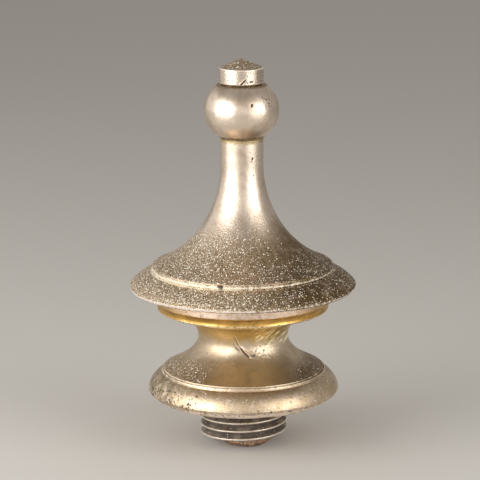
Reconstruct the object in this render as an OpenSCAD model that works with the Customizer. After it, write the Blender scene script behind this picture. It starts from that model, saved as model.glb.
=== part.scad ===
// Finial-style hood ornament: nickel-plated brass shells stacked on one tie rod,
// with a round cap nut on top and a male-threaded plug under the base flange.
// Millimetres. +Z is up. The origin is the centre of the flat seat under the flange.

/* [Base flange] */
// Widest diameter of the base flange
flange_d = 48.5; // [46:0.1:59]
// Height of the base flange, from its seat to the shoulder under the spool
flange_h = 6.6; // [5.5:0.1:8]
// Height of the flange's widest ring above the seat
flange_wide_z = 2.1; // [1.5:0.1:3]
// Outer diameter of the flat ring that the flange seats on
seat_d = 43.6; // [42:0.2:46]
// Bulge of the flange's rounded shoulder
flange_bulge = 0.7; // [0.3:0.1:1.2]
// Width of the bead that stands round the spool's foot
bead_w = 0.5; // [0.3:0.1:0.8]
// Height of the bead above the flange's shoulder
bead_h = 0.7; // [0.3:0.1:0.9]
// Diameter of the bore through the flange
flange_bore_d = 36; // [32:0.5:37]
// Depth of the base plate's underside above the seat
plate_recess = 0.4; // [0.2:0.1:1]
// Thickness of the base plate
plate_t = 1.6; // [1:0.1:2.5]
// Width of the step that the base plate rests against
plate_step = 0.65; // [0.4:0.05:1.2]

/* [Waist spool] */
// Diameter at the narrowest part of the waist
waist_d = 22.8; // [20:0.2:27]
// Height of the waist spool above the flange
waist_h = 15.2; // [13.5:0.1:18.5]
// Height of the narrowest ring above the spool's foot edge
waist_rise = 8.2; // [7:0.1:9]
// Diameter of the spool's foot
foot_d = 40.8; // [39:0.2:43]
// Thickness of the spool's foot edge
foot_t = 1.0; // [0.8:0.1:1.5]
// Radius of the hollow above the narrowest ring
scotia_r = 5.4; // [4.5:0.1:7]
// Diameter of the land on top of the spool
spool_top_d = 31; // [29:0.5:34]
// Length of the spigot that centres the spool in the flange
spigot_h = 1.4; // [0.8:0.1:2]

/* [Canopy pan] */
// Diameter of the pan's upright band
pan_d = 45.2; // [43:0.2:48]
// Height of the pan
pan_h = 6.6; // [5.6:0.1:8]
// Height of the upright band
fascia_h = 3.1; // [2:0.1:3.6]
// Diameter of the sharp ring at the pan's lower edge
arris_d = 43.4; // [41:0.2:44.8]
// Depth of the cove above the sharp ring
cove_depth = 0.5; // [0.2:0.1:0.8]

/* [Canopy] */
// Diameter of the canopy's rim
canopy_d = 57.4; // [54:0.2:70]
// Height of the canopy
canopy_h = 4.6; // [4:0.1:6]
// Height of the rim's edge above the canopy's underside
rim_z = 0.9; // [0.6:0.1:1.4]
// Bulge of the canopy's rounded slope
canopy_bulge = 0.5; // [0.2:0.1:1]
// Thickness of the canopy's web under the spire
web_t = 1.3; // [1:0.1:1.8]

/* [Spire] */
// Height of the spire from its foot to its top
spire_h = 33.7; // [28:0.1:41]
// Diameter of the spire's neck
neck_d = 10.8; // [10.4:0.1:12]
// Length of the neck's straight stretch
neck_straight = 6.7; // [4:0.1:9]
// Diameter of the ledge at the spire's foot
ledge_d = 45.8; // [43:0.2:48]
// Height of the ledge
ledge_t = 1.2; // [0.8:0.1:2]
// Fullness of the flare: its curve's width over the width that it covers
flare_fullness = 1.5; // [1.2:0.05:2]

/* [Ball] */
// Diameter of the ball
ball_d = 18.7; // [17:0.1:23]
// Height between the ball's two flats
ball_h = 12.9; // [11.5:0.1:13.5]
// Radius of the ball's side in section
ball_side_r = 8; // [7.2:0.1:8.4]
// Thickness of the solder ring under the ball
solder_t = 0.6; // [0.4:0.1:1]

/* [Tip cap] */
// Diameter of the cap
cap_d = 11.1; // [9:0.1:12]
// Height of the cap's straight band
cap_band_h = 3.8; // [3:0.1:5]
// Height of the cap's cone
cap_cone_h = 2.3; // [1.5:0.1:3]
// Thickness of the washer under the cap
cap_washer_t = 0.4; // [0.3:0.1:0.8]
// Diameter of the washer under the cap
cap_washer_d = 10.4; // [8:0.1:11]
// Length of tie rod held inside the cap
cap_engagement = 3.3; // [2.5:0.1:3.6]

/* [Threaded plug] */
// Outside diameter of the plug's thread
thread_d = 22.2; // [20:0.1:27]
// Pitch of the plug's thread
thread_pitch = 2.12; // [1.5:0.01:2.6]
// Number of thread ridges
thread_turns = 4; // [3:1:6]
// Length of the relief between the seat and the thread
relief_h = 1.1; // [0.8:0.1:2]
// Diameter of the plug's spigot, which passes through the base plate
spigot_d = 16; // [13:0.1:17]
// Width across the flats of the lock nut
lock_nut_af = 20; // [19:0.5:24]
// Thickness of the lock nut
lock_nut_t = 3; // [2:0.1:4]
// Stand of the spigot above the lock nut
spigot_stand = 0.4; // [0.2:0.1:1]

/* [Tie rod] */
// Diameter of the tie rod
rod_d = 6; // [5:0.1:6.4]
// Diameter of the rod's hammered lower end
peen_d = 12.8; // [10:0.2:13.6]
// Height of the hammered end
peen_h = 3; // [2:0.1:4]
// Sideways shift of the hammered end
peen_shift = 0.6; // [0:0.1:1]
// Diameter of the washer under the hammered end
burr_washer_d = 14; // [12:0.2:15]
// Thickness of the washer under the hammered end
burr_washer_t = 1; // [0.6:0.1:1.5]
// Depth of the recess that holds this washer
burr_recess = 1.2; // [0.8:0.1:1.8]

/* [Core] */
// Wall of the hollow shells
wall = 1.3; // [1:0.1:1.6]
// Outer diameter of the spacer tubes
spacer_d = 9; // [8:0.5:12]
// Length of the bush in the spire's neck
neck_bush_h = 11.7; // [6:0.1:14]
// Thickness of the foot plate's flange
foot_plate_t = 1.3; // [1:0.1:2]
// Depth of the foot plate's spigot inside the spire
foot_spigot_h = 1; // [0.6:0.1:1.5]
// Diameter of the bore that the foot plate's spigot fills
foot_bore_d = 35; // [29:0.1:38]
// Radial clearance between pieces that slide together
fit = 0.05; // [0.02:0.01:0.08]

/* [Hidden] */
$fn = 96;

// Heights of the joints between the pieces, from the seat up
plate_top = plate_recess + plate_t;
spool_z = flange_h;
pan_z = spool_z + waist_h;
canopy_z = pan_z + pan_h;
ledge_z = canopy_z + canopy_h;
spire_top = ledge_z + spire_h;
ball_z = spire_top + solder_t;
ball_top = ball_z + ball_h;
cap_z = ball_top + cap_washer_t;
cone_z = cap_z + cap_band_h;
apex_z = cone_z + cap_cone_h;
rod_top = cap_z + cap_engagement;
spigot_top = plate_top + lock_nut_t + spigot_stand;
foot_plate_z = ledge_z - web_t - foot_plate_t;
foot_plate_top = ledge_z + foot_spigot_h;
neck_bush_z = spire_top - neck_bush_h;
thread_end = -relief_h - thread_turns * thread_pitch;
burr_z = thread_end + burr_recess;

// Radii shared by pieces that fit together
rod_hole_r = rod_d / 2 + fit;
neck_bore_r = neck_d / 2 - wall;
bush_r = neck_bore_r - fit;
ledge_r = ledge_d / 2;
canopy_bore_r = foot_bore_d / 2;
pan_inner_r = pan_d / 2 - wall;
foot_r = foot_d / 2;
flange_bore_r = flange_bore_d / 2;
plate_r = flange_bore_r + plate_step;
spigot_r = spigot_d / 2;
waist_z = spool_z + foot_t + waist_rise;

// The thread's ridge: a worn flat crest, and flanks at thirty degrees
crest_w = thread_pitch / 4;
root_w = thread_pitch / 8;
flank_w = (thread_pitch - crest_w - root_w) / 2;
root_r = thread_d / 2 - flank_w / tan(30);

// Small edge breaks
edge = 0.3;
bevel = 0.15;

nickel = [0.80, 0.74, 0.65];
dull_nickel = [0.60, 0.54, 0.44];
warm_nickel = [0.72, 0.60, 0.42];
brass = [0.80, 0.62, 0.30];
steel = [0.38, 0.36, 0.34];
copper = [0.66, 0.42, 0.28];
solder_grey = [0.52, 0.44, 0.30];

// Points of an arc from p to q that bulges by sag to the left of the way from p to q
function bulge(p, q, sag, n = 12) =
    let (chord = q - p)
    let (len = norm(chord))
    let (left = [-chord[1], chord[0]] / len)
    let (r = (len * len / 4 + sag * sag) / (2 * sag))
    let (centre = (p + q) / 2 + left * (sag - r))
    let (half = asin(len / 2 / abs(r)))
    [for (i = [0:n])
        let (a = half * (2 * i / n - 1))
        centre + abs(r) * (sin(a) * chord / len + sign(sag) * cos(a) * left)];

// Points down the flare of the spire, moved inwards by inset along the surface's normal
function flare(inset, n = 36) =
    let (r_end = ledge_r - edge)
    let (width = flare_fullness * (r_end - neck_d / 2))
    let (t_end = acos(1 - 1 / flare_fullness))
    let (drop = (spire_h - neck_straight - ledge_t - edge) / sin(t_end))
    [for (i = [0:n])
        let (t = t_end * i / n)
        let (normal = [drop * cos(t), width * sin(t)])
        [neck_d / 2 + width * (1 - cos(t)), spire_top - neck_straight - drop * sin(t)]
            - inset * normal / norm(normal)];

// Points down the spool's lower flare, a parabola, moved inwards by inset
function lower_flare(inset, n = 20) =
    let (width = foot_r - waist_d / 2)
    [for (i = [0:n])
        let (u = i / n)
        let (normal = [waist_rise, 2 * width * u])
        [waist_d / 2 + width * u * u, waist_z - waist_rise * u] - inset * normal / norm(normal)];

// Points down the hollow above the narrowest ring, from height z_end or radius r_end,
// whichever the curve meets first on its way up
function scotia(inset, z_end, r_end, n = 12) =
    let (r = scotia_r + inset)
    let (a_height = asin(min(1, (z_end - waist_z) / r)))
    let (a_width = acos(min(1, max(0, (waist_d / 2 + scotia_r - r_end) / r))))
    let (a_end = min(a_height, a_width))
    [for (i = [n:-1:0])
        let (a = a_end * i / n)
        [waist_d / 2 + scotia_r - r * cos(a), waist_z + r * sin(a)]];

// A tube on the rod's axis
module sleeve(r_out, r_in, z_low, z_high)
    rotate_extrude()
        translate([r_in, z_low])
            square([r_out - r_in, z_high - z_low]);

module tip_cap() color(nickel)
    rotate_extrude()
        difference() {
            polygon([[0, cap_z], [cap_d / 2 - bevel, cap_z], [cap_d / 2, cap_z + bevel],
                     [cap_d / 2, cone_z - bevel], [cap_d / 2 - bevel, cone_z], [0, apex_z]]);
            translate([0, cap_z])
                square([rod_hole_r, cap_engagement + edge]);
        }

module cap_washer() color(solder_grey)
    sleeve(cap_washer_d / 2, rod_hole_r, ball_top, cap_z);

// The ball's section grown inwards by inset, between two heights
module ball_section(inset, z_low, z_high)
    intersection() {
        union() {
            translate([ball_d / 2 - ball_side_r, (ball_z + ball_top) / 2])
                circle(r = ball_side_r - inset);
            translate([0, z_low])
                square([ball_d / 2 - ball_side_r, z_high - z_low]);
        }
        translate([neck_bore_r, z_low])
            square([ball_d, z_high - z_low]);
    }

module ball() color(nickel)
    rotate_extrude()
        difference() {
            ball_section(0, ball_z, ball_top);
            ball_section(wall, ball_z + wall, ball_top - wall);
        }

module ball_bush() color(brass)
    sleeve(bush_r, rod_hole_r, spire_top, ball_top);

module solder_ring() color(solder_grey)
    rotate_extrude()
        polygon([[neck_bore_r, spire_top], [neck_d / 2, spire_top],
                 [neck_d / 2 + solder_t / 3, ball_z - solder_t / 3],
                 [neck_d / 2 + solder_t, ball_z], [neck_bore_r, ball_z]]);

module spire() color(nickel)
    rotate_extrude()
        difference() {
            polygon(concat([[0, ledge_z], [0, spire_top], [neck_d / 2, spire_top]], flare(0),
                           [[ledge_r, ledge_z + ledge_t], [ledge_r, ledge_z]]));
            intersection() {
                polygon(concat([[0, ledge_z], [0, spire_top], [neck_bore_r, spire_top]],
                               flare(wall), [[ledge_r, ledge_z]]));
                translate([0, ledge_z])
                    square([canopy_bore_r, spire_h]);
            }
        }

module neck_bush() color(brass)
    sleeve(bush_r, rod_hole_r, neck_bush_z, spire_top);

module spire_tube() color(brass)
    sleeve(bush_r, rod_hole_r, foot_plate_top, neck_bush_z);

module foot_plate() color(brass) {
    sleeve(pan_inner_r - edge, rod_hole_r, foot_plate_z, foot_plate_z + foot_plate_t);
    sleeve(canopy_bore_r - fit, rod_hole_r, foot_plate_z + foot_plate_t, foot_plate_top);
}

module canopy() color(dull_nickel)
    rotate_extrude()
        polygon(concat([[canopy_bore_r, ledge_z]],
                       bulge([ledge_r, ledge_z], [canopy_d / 2, canopy_z + rim_z], canopy_bulge),
                       [[canopy_d / 2 - bevel, canopy_z + rim_z / 2],
                        [canopy_d / 2 - rim_z, canopy_z],
                        [pan_inner_r, canopy_z],
                        [pan_inner_r, ledge_z - web_t],
                        [canopy_bore_r, ledge_z - web_t]]));

module canopy_spacer() color(brass)
    sleeve(spacer_d / 2, rod_hole_r, pan_z + wall, foot_plate_z);

module canopy_pan() color(brass)
    rotate_extrude()
        polygon(concat([[rod_hole_r, pan_z], [spool_top_d / 2, pan_z],
                        [arris_d / 2 - edge, pan_z + wall - edge / 2],
                        [arris_d / 2, pan_z + wall + edge / 2]],
                       bulge([arris_d / 2, pan_z + wall + edge],
                             [pan_d / 2, canopy_z - fascia_h], cove_depth),
                       [[pan_d / 2, canopy_z], [pan_inner_r, canopy_z],
                        [pan_inner_r, canopy_z - fascia_h],
                        [arris_d / 2 - 2 * wall, pan_z + wall], [rod_hole_r, pan_z + wall]]));

module waist_spool() color(warm_nickel)
    rotate_extrude()
        difference() {
            polygon(concat([[0, pan_z], [spool_top_d / 2, pan_z]],
                           scotia(0, pan_z - edge, spool_top_d / 2), lower_flare(0),
                           [[foot_r, spool_z], [flange_bore_r - fit, spool_z],
                            [flange_bore_r - fit, spool_z - spigot_h],
                            [0, spool_z - spigot_h]]));
            intersection() {
                polygon(concat([[0, pan_z]], scotia(wall, pan_z, spool_top_d / 2 - wall),
                               lower_flare(wall),
                               [[foot_r, spool_z - spigot_h], [0, spool_z - spigot_h]]));
                translate([0, spool_z - spigot_h])
                    square([flange_bore_r - fit - wall, waist_h + spigot_h]);
            }
        }

module waist_spacer() color(brass)
    sleeve(spacer_d / 2, rod_hole_r, spigot_top, pan_z);

module base_flange() color(warm_nickel)
    rotate_extrude()
        polygon(concat([[flange_bore_r, flange_h], [foot_r + fit, flange_h],
                        [foot_r + fit, flange_h + bead_h],
                        [foot_r + bead_w - bevel, flange_h + bead_h - bevel / 2],
                        [foot_r + bead_w, flange_h + bead_h / 2]],
                       bulge([foot_r + bead_w, flange_h],
                             [flange_d / 2, flange_wide_z], flange_bulge),
                       bulge([flange_d / 2, flange_wide_z], [seat_d / 2, 0], edge, 6),
                       [[plate_r, 0], [plate_r, plate_top], [flange_bore_r, plate_top]]));

module base_plate() color(brass)
    sleeve(plate_r - fit, spigot_r + fit, plate_recess, plate_top);

module plug_lock_nut() color(steel)
    difference() {
        translate([0, 0, plate_top])
            cylinder(h = lock_nut_t, d = lock_nut_af / cos(30), $fn = 6);
        translate([0, 0, plate_top - edge])
            cylinder(h = lock_nut_t + 2 * edge, r = spigot_r + fit);
    }

// Ridges are closed rings at the thread's pitch
module threaded_plug() color(steel)
    rotate_extrude()
        difference() {
            polygon(concat([[0, spigot_top], [spigot_r, spigot_top], [spigot_r, plate_recess],
                            [root_r, plate_recess]],
                           [for (i = [0:thread_turns - 1])
                               let (z = -relief_h - i * thread_pitch)
                               each [[root_r, z - root_w / 2],
                                     [thread_d / 2, z - root_w / 2 - flank_w],
                                     [thread_d / 2, z - root_w / 2 - flank_w - crest_w],
                                     [root_r, z - thread_pitch + root_w / 2]]],
                           [[root_r, thread_end], [0, thread_end]]));
            translate([0, thread_end])
                square([rod_hole_r, spigot_top - thread_end]);
            translate([0, thread_end])
                square([burr_washer_d / 2 + fit, burr_recess]);
        }

module burr_washer() color(brass)
    sleeve(burr_washer_d / 2, rod_hole_r, burr_z - burr_washer_t, burr_z);

module tie_rod() color(copper) {
    peen_top = burr_z - burr_washer_t;
    translate([0, 0, peen_top])
        cylinder(h = rod_top - peen_top, r = rod_d / 2);
    translate([peen_shift, 0, peen_top - peen_h])
        rotate_extrude()
            polygon([[0, 0], [peen_d / 2 - edge, 0], [peen_d / 2, edge],
                     [peen_d / 2, peen_h - edge], [peen_d / 2 - edge, peen_h], [0, peen_h]]);
}

tip_cap();
cap_washer();
ball();
ball_bush();
solder_ring();
spire();
neck_bush();
spire_tube();
foot_plate();
canopy();
canopy_spacer();
canopy_pan();
waist_spool();
waist_spacer();
base_flange();
base_plate();
plug_lock_nut();
threaded_plug();
burr_washer();
tie_rod();
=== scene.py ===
"""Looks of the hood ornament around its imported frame. Metres, +Z up, and -Y is the front."""

import math

import bpy
import numpy as np
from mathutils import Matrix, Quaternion, Vector


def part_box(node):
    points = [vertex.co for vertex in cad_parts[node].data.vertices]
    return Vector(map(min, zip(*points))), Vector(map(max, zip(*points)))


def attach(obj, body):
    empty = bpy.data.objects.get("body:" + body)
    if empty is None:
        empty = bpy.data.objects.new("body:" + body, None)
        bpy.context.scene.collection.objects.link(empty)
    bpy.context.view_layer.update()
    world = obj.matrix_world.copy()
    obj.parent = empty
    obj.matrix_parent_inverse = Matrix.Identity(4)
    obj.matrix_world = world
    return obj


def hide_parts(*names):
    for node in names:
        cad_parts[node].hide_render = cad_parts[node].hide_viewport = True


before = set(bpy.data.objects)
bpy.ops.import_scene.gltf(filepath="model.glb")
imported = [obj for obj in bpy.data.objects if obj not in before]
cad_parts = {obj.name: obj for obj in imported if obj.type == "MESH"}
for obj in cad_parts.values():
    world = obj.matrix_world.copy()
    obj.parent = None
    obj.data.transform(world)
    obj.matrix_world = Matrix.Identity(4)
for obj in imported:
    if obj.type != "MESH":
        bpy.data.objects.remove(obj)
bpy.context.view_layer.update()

MM = 0.001
SEED = 1925


def new_object(name, data):
    """An object in the scene that carries data."""
    made = bpy.data.objects.new(name, data)
    bpy.context.scene.collection.objects.link(made)
    return made


# ---------------- sizes, in millimetres


def radius(node):
    """Half of a round node's width."""
    low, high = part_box(node)
    return (high.y - low.y) / 2 / MM


def bottom(node):
    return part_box(node)[0].z / MM


def top(node):
    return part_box(node)[1].z / MM


def measures(node):
    return bottom(node), top(node), radius(node)


WALL = 1.3
EDGE = 0.3
WASHER_WIDTH = 2.15
ROD_HOLE = radius("cap_washer") - WASHER_WIDTH
CAP_CONE_H = 2.3
CAP_BORE_H = 3.6
SPIGOT_H = 1.4
NECK_BORE = radius("ball_bush") + 0.05
NECK_R = NECK_BORE + WALL
FOOT_BORE = 17.5
LEDGE_R = radius("spire")
LEDGE_Z = bottom("spire")
SPIRE_TOP = top("spire")
CANOPY_R = radius("canopy")
CANOPY_Z = bottom("canopy")
PAN_R = radius("canopy_pan")
PAN_Z = bottom("canopy_pan")
PAN_INNER = PAN_R - WALL
FOOT_R = radius("waist_spool")
SPOOL_Z = bottom("waist_spool") + SPIGOT_H
FLANGE_R = radius("base_flange")
THREAD_R = radius("threaded_plug")
THREAD_END = bottom("threaded_plug")
PEEN_Z = bottom("tie_rod")


# ---------------- outlines


def bulge(start, end, sag, count=14):
    """Points of an arc from start to end that bulges by sag to the left of the way."""
    start, end = np.array(start, float), np.array(end, float)
    chord = end - start
    length = np.hypot(*chord)
    left = np.array([-chord[1], chord[0]]) / length
    arc_r = (length**2 / 4 + sag**2) / (2 * sag)
    centre = (start + end) / 2 + left * (sag - arc_r)
    half = math.asin(length / 2 / abs(arc_r))
    turns = np.linspace(-half, half, count)
    return [
        tuple(centre + abs(arc_r) * (math.sin(a) * chord / length + math.copysign(1, sag) * math.cos(a) * left))
        for a in turns
    ]


def soften(points, cut, closed):
    """Rounds each sharp corner of an outline over a distance of cut each way."""
    points = [np.array(p, float) for p in points]
    count = len(points)
    result = []
    for i, here in enumerate(points):
        if not closed and i in (0, count - 1):
            result.append(here)
            continue
        before, after = points[i - 1], points[(i + 1) % count]
        back, ahead = before - here, after - here
        back_len, ahead_len = np.hypot(*back), np.hypot(*ahead)
        if back_len < 1e-9 or ahead_len < 1e-9:
            continue
        turn = math.acos(np.clip(-(back @ ahead) / back_len / ahead_len, -1, 1))
        if turn < math.radians(18):
            result.append(here)
            continue
        enter = here + back * min(cut, back_len * 0.45) / back_len
        leave = here + ahead * min(cut, ahead_len * 0.45) / ahead_len
        for t in np.linspace(0, 1, 5):
            result.append((1 - t) ** 2 * enter + 2 * t * (1 - t) * here + t**2 * leave)
    return result


def trace(points, closed, fine, coarse, is_fine):
    """Cuts an outline into short steps: fine where is_fine(r, z) holds, coarse elsewhere."""
    points = list(points)
    if closed:
        points.append(points[0])
    result = []
    for start, end in zip(points[:-1], points[1:]):
        middle = (start + end) / 2
        step = fine if is_fine(*middle) else coarse
        count = max(1, math.ceil(np.hypot(*(end - start)) / step))
        result += [start + (end - start) * i / count for i in range(count)]
    if not closed:
        result.append(points[-1])
    return np.array(result)


# ---------------- smooth noise


def lattice(ix, iy, iz, seed):
    """A fixed pseudo-random value from -1 to 1 for each lattice point."""
    n = ix * 374761393 + iy * 668265263 + iz * 1274126177 + seed * 1442695041
    n = (n ^ (n >> 13)) & 0xFFFFFFFF
    n = (n * 1103515245 + 12345) & 0xFFFFFFFF
    n = (n ^ (n >> 16)) & 0xFFFFFFFF
    return n / 0x7FFFFFFF - 1


def noise(points, cell, seed):
    """Smooth noise from -1 to 1 at points in millimetres, with features about cell wide."""
    scaled = points / cell + 512
    low = np.floor(scaled).astype(np.int64)
    part = scaled - low
    part = part * part * (3 - 2 * part)
    total = 0
    for corner in range(8):
        step = np.array([corner & 1, corner >> 1 & 1, corner >> 2])
        weight = np.prod(np.where(step == 1, part, 1 - part), axis=-1)
        at = low + step
        total = total + weight * lattice(at[..., 0], at[..., 1], at[..., 2], SEED + seed)
    return total


# ---------------- lathe


class Surface:
    """A turned surface before it becomes a mesh: rows run along the outline, columns round the axis."""

    def __init__(self, outline, segments):
        self.outline = outline
        self.turn = np.linspace(0, 2 * math.pi, segments, endpoint=False)
        along = np.roll(outline, -1, 0) - np.roll(outline, 1, 0)
        along[0] = outline[1] - outline[0] if outline[0][0] < 1e-6 else along[0]
        along[-1] = outline[-1] - outline[-2] if outline[-1][0] < 1e-6 else along[-1]
        along /= np.maximum(np.hypot(along[:, 0], along[:, 1]), 1e-9)[:, None]
        area = np.sum(outline[:, 0] * np.roll(outline[:, 1], -1) - np.roll(outline[:, 0], -1) * outline[:, 1])
        self.facing = 1 if area > 0 else -1
        self.normal = np.stack([along[:, 1], -along[:, 0]], 1) * self.facing
        shape = (len(outline), segments)
        self.r = np.broadcast_to(outline[:, :1], shape).copy()
        self.z = np.broadcast_to(outline[:, 1:], shape).copy()
        self.angle = np.broadcast_to(self.turn, shape)
        self.nr = np.broadcast_to(self.normal[:, :1], shape)
        self.nz = np.broadcast_to(self.normal[:, 1:], shape)
        self.marks = {"soil": np.zeros(shape), "bare": np.zeros(shape)}

    def mark(self, name, amount):
        """Says how far the surface is soiled or rubbed bare, from 0 to 1. The material reads it."""
        self.marks[name] = np.maximum(self.marks[name], np.clip(amount, 0, 1))

    def points(self):
        """Places of all the grid's points, in millimetres. Angle 0 is the front, and it grows to +X."""
        return np.stack([self.r * np.sin(self.angle), -self.r * np.cos(self.angle), self.z], -1)

    def push(self, amount):
        """Moves the surface outwards along its own normal."""
        moving = self.r > 1e-6
        self.r += np.where(moving, amount * self.nr, 0)
        self.z += np.where(moving, amount * self.nz, 0)

    def pit(self, places, sizes, depths, soil=1.0):
        """Sinks a round crater at each (angle in degrees, radius, height), and soils it by soil."""
        points = self.points()
        sunk, dirt = np.zeros(self.r.shape), np.zeros(self.r.shape)
        for (angle, r, z), size, depth in zip(places, sizes, depths):
            a = math.radians(angle)
            centre = np.array([r * math.sin(a), -r * math.cos(a), z])
            rows = np.flatnonzero(np.any(np.abs(self.z - z) < size, 1))
            if not len(rows):
                continue
            rows = slice(rows[0], rows[-1] + 1)
            near = np.clip(1 - np.sum((points[rows] - centre) ** 2, -1) / size**2, 0, 1)
            sunk[rows] = np.maximum(sunk[rows], depth * near**2)
            dirt[rows] = np.maximum(dirt[rows], np.clip(near * 1.8 - 0.4, 0, 1))
        self.push(-sunk)
        self.mark("soil", soil * dirt)

    def strew(self, seed, count, angles, rows, sizes, depths, soil=1.0):
        """Sinks random pits: angles in degrees, rows as (radius, height) points to choose from."""
        rng = np.random.default_rng(SEED + seed)
        chosen = rng.integers(0, len(rows), count)
        turns = rng.uniform(*angles, count)
        places = [(turn, *rows[i]) for turn, i in zip(turns, chosen)]
        self.pit(places, rng.uniform(*sizes, count), rng.uniform(*depths, count), soil)

    def across(self, start, end):
        """Signed distance from a line drawn on the surface, and the share of the way along it.

        start and end are (angle in degrees, height)."""
        low, high = sorted((start[1], end[1]))
        mean_r = float(np.mean(self.r[(self.z > low) & (self.z < high)]))
        wrapped = (self.angle + math.pi) % (2 * math.pi) - math.pi
        u, v = wrapped * mean_r, self.z
        u0, v0 = math.radians(start[0]) * mean_r, start[1]
        u1, v1 = math.radians(end[0]) * mean_r, end[1]
        length = math.hypot(u1 - u0, v1 - v0)
        du, dv = (u1 - u0) / length, (v1 - v0) / length
        along = (u - u0) * du + (v - v0) * dv
        side = (u - u0) * -dv + (v - v0) * du
        return side, along / length

    def mesh(self, name):
        """Makes the object, closed all round. An outline that starts on the axis ends on it too."""
        points = self.points() * MM
        rows, columns = self.r.shape
        open_chain = self.outline[0][0] < 1e-6
        if open_chain:
            vertices = [points[0, 0][None], points[1:-1].reshape(-1, 3), points[-1, 0][None]]
            ring_rows = rows - 2
        else:
            vertices = [points.reshape(-1, 3)]
            ring_rows = rows
        co = np.concatenate(vertices)
        first = 1 if open_chain else 0
        row = np.arange(ring_rows - 1 if open_chain else ring_rows)[:, None]
        col = np.arange(columns)[None]
        nxt_row, nxt_col = (row + 1) % ring_rows, (col + 1) % columns
        here, there = first + row * columns, first + nxt_row * columns
        quads = np.stack([here + col, here + nxt_col, there + nxt_col, there + col], -1)
        faces = quads.reshape(-1, 4).tolist()
        if open_chain:
            last = len(co) - 1
            final = first + (ring_rows - 1) * columns
            around = [(c, (c + 1) % columns) for c in range(columns)]
            faces += [[0, first + b, first + a] for a, b in around]
            faces += [[last, final + a, final + b] for a, b in around]
        if self.facing > 0:
            faces = [f[::-1] for f in faces]
        data = bpy.data.meshes.new(name)
        data.from_pydata(co.tolist(), [], faces)
        data.shade_smooth()
        for mark, grid in self.marks.items():
            ends = [grid[0, :1], grid[1:-1].ravel(), grid[-1, :1]] if open_chain else [grid.ravel()]
            layer = data.attributes.new(mark, "FLOAT", "POINT")
            layer.data.foreach_set("value", np.concatenate(ends).astype(np.float32))
        data.update()
        return new_object(name, data)


def turned(points, segments, closed=True, cut=0.12, fine=0.22, coarse=1.4, is_fine=lambda r, z: True):
    """A turned surface from an outline's corner points, which are (radius, height)."""
    outline = trace(soften(points, cut, closed), closed, fine, coarse, is_fine)
    return Surface(outline, segments)


WAVE_CELL = 14


def wear(surface, seed, wave=0.03, grain=0.006, cell=1.1):
    """Out-of-round waves, and a fine uneven grain."""
    points = surface.points()
    surface.push(wave * noise(points, WAVE_CELL, seed) + grain * noise(points, cell, seed + 1))


# ---------------- pieces


BITE_START_DEG = -4
BITE_END_DEG = 11
BITE_W = 0.17
BITE_DEPTH = 0.34


def make_cap():
    low, high, r = measures("tip_cap")
    cone_z = high - CAP_CONE_H
    points = [(0, low + CAP_BORE_H), (ROD_HOLE, low + CAP_BORE_H), (ROD_HOLE, low), (r, low), (r, cone_z), (0, high)]

    def outside(r, z):
        return r > ROD_HOLE + 0.5 or z > cone_z

    cap = turned(points, 360, closed=False, cut=0.22, fine=0.11, is_fine=outside)
    wear(cap, 10, 0.02, 0.003, 0.5)
    cone = np.clip((cap.z - cone_z) / 0.4, 0, 1) * (cap.r > 0.2)
    cap.push(cone * 0.035 * noise(cap.points(), 0.32, 12))
    side, share = cap.across((BITE_START_DEG, low - 0.1), (BITE_END_DEG, low + 1.35))
    bite = np.exp(-((side / BITE_W) ** 2)) * (share > -0.1) * (share < 1.0) * (cap.nr > 0.5)
    lip = np.exp(-(((side - 0.3) / 0.14) ** 2)) * (share > 0) * (share < 1) * (cap.nr > 0.5)
    cap.push(-BITE_DEPTH * bite + 0.07 * lip)
    cap.mark("soil", 1.3 * bite)
    cap.mark("bare", lip)
    low_row = [(r, low + h) for h in (0.55, 0.7, 0.85)]
    cap.strew(13, 7, (14, 36), low_row, (0.16, 0.3), (0.08, 0.2))
    cap.strew(14, 5, (60, 80), low_row, (0.18, 0.35), (0.08, 0.2))
    band = [(r, low + h) for h in (0.4, 1.2, 2.2, 3.0)]
    cap.strew(15, 26, (0, 360), band, (0.1, 0.22), (0.03, 0.09))
    return cap.mesh("cap_nut")


def make_washer():
    low, high, r = measures("cap_washer")
    ring = turned([(ROD_HOLE, low), (r, low), (r, high), (ROD_HOLE, high)], 240, cut=0.08, fine=0.12)
    outer = ring.r > r - 0.6
    ring.push(np.where(outer, -0.05 + 0.05 * noise(ring.points(), 0.7, 20), 0) * np.abs(ring.nr))
    return ring.mesh("cap_seal_washer")


BALL_SIDE_R = 8.0
NICK_UP = 2.4


def make_ball():
    low, high, r = measures("ball")
    centre_r, centre_z = r - BALL_SIDE_R, (low + high) / 2
    tilt = math.asin((high - low) / 2 / BALL_SIDE_R)
    side = [
        (centre_r + BALL_SIDE_R * math.cos(a), centre_z + BALL_SIDE_R * math.sin(a))
        for a in np.linspace(-tilt, tilt, 40)
    ]
    shell = turned(
        [(NECK_BORE, low), *side, (NECK_BORE, high)], 512, fine=0.16, is_fine=lambda r, z: r > NECK_BORE + 0.4
    )
    wear(shell, 30, 0.035, 0.008, 0.8)
    middle = side[8:34]
    shell.strew(31, 16, (-80, 80), middle, (0.12, 0.24), (0.02, 0.07), soil=0.5)
    shell.strew(32, 14, (38, 58), side[24:32], (0.18, 0.32), (0.05, 0.12))
    nick_r = centre_r + math.sqrt(BALL_SIDE_R**2 - NICK_UP**2)
    nick = [(16.5, nick_r, centre_z + NICK_UP + 0.15), (15.5, nick_r, centre_z + NICK_UP - 0.2)]
    shell.pit(nick, [0.44, 0.34], [0.12, 0.08])
    shell.strew(33, 24, (80, 280), middle, (0.12, 0.3), (0.02, 0.08), soil=0.5)
    return shell.mesh("ball_shell")


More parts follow.
